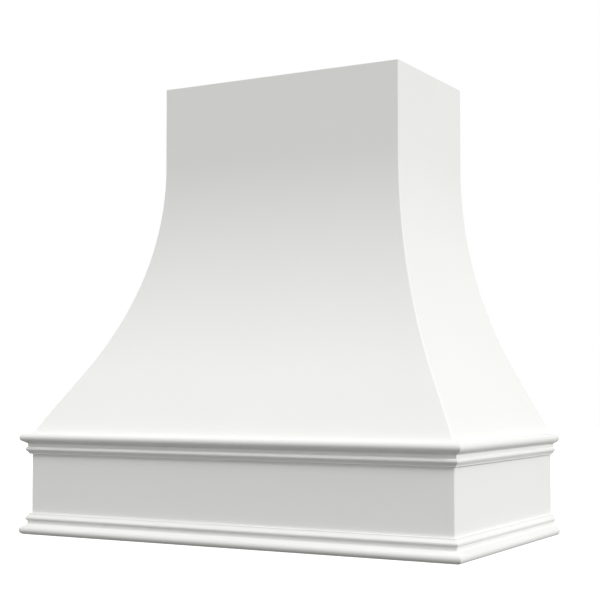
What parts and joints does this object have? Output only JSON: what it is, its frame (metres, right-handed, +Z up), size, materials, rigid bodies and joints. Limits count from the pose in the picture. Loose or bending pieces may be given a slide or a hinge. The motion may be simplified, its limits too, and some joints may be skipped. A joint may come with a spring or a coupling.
{
  "type": "range hood cover",
  "caption": "Wall-hung wooden range hood cover: plumb stack flaring to a wide apron with two mouldings, open inside for a liner, blower and duct.",
  "frame": {"origin": "middle of the hood's footprint, mouldings included, at the level of the lower rim; the wall plane is y = +0.2569 m", "axes": "+X to the right seen from the front, +Y towards the wall, +Z up"},
  "size_m": [0.9514, 0.5138, 0.9144],
  "materials": {
    "painted_wood": "sprayed satin white paint",
    "birch_plywood": "bare sanded birch plywood",
    "poplar": "bare planed poplar",
    "zinc_screw": "yellow zinc plate",
    "steel_brad": "bright steel"
  },
  "bodies": {
    "root": {"front_panel": "painted_wood", "left_panel": "painted_wood", "right_panel": "painted_wood", "apron_front": "painted_wood", "apron_left": "painted_wood", "apron_right": "painted_wood", "upper_moulding_front": "painted_wood", "upper_moulding_left": "painted_wood", "upper_moulding_right": "painted_wood", "lower_moulding_front": "painted_wood", "lower_moulding_left": "painted_wood", "lower_moulding_right": "painted_wood", "front_rib_1": "birch_plywood", "front_rib_2": "birch_plywood", "front_rib_3": "birch_plywood", "front_rib_4": "birch_plywood", "left_rib_1": "birch_plywood", "left_rib_2": "birch_plywood", "right_rib_1": "birch_plywood", "right_rib_2": "birch_plywood", "left_hip_rib": "birch_plywood", "right_hip_rib": "birch_plywood", "left_wall_rib": "birch_plywood", "right_wall_rib": "birch_plywood", "base_rail_front": "birch_plywood", "base_rail_back": "birch_plywood", "base_rail_left": "birch_plywood", "base_rail_right": "birch_plywood", "top_rail_front": "poplar", "top_rail_back": "poplar", "top_rail_left": "poplar", "top_rail_right": "poplar", "upper_wall_rail": "poplar", "lower_wall_rail": "poplar", "liner_cleat_front": "poplar", "liner_cleat_left": "poplar", "liner_cleat_right": "poplar", "corner_block_front_left": "poplar", "corner_block_front_right": "poplar", "corner_block_back_left": "poplar", "corner_block_back_right": "poplar", "rib_foot_screws": "zinc_screw", "rib_top_screws": "zinc_screw", "cleat_screws": "zinc_screw", "block_screws": "zinc_screw", "moulding_brads": "steel_brad", "panel_brads": "steel_brad"}
  },
  "joints": []
}
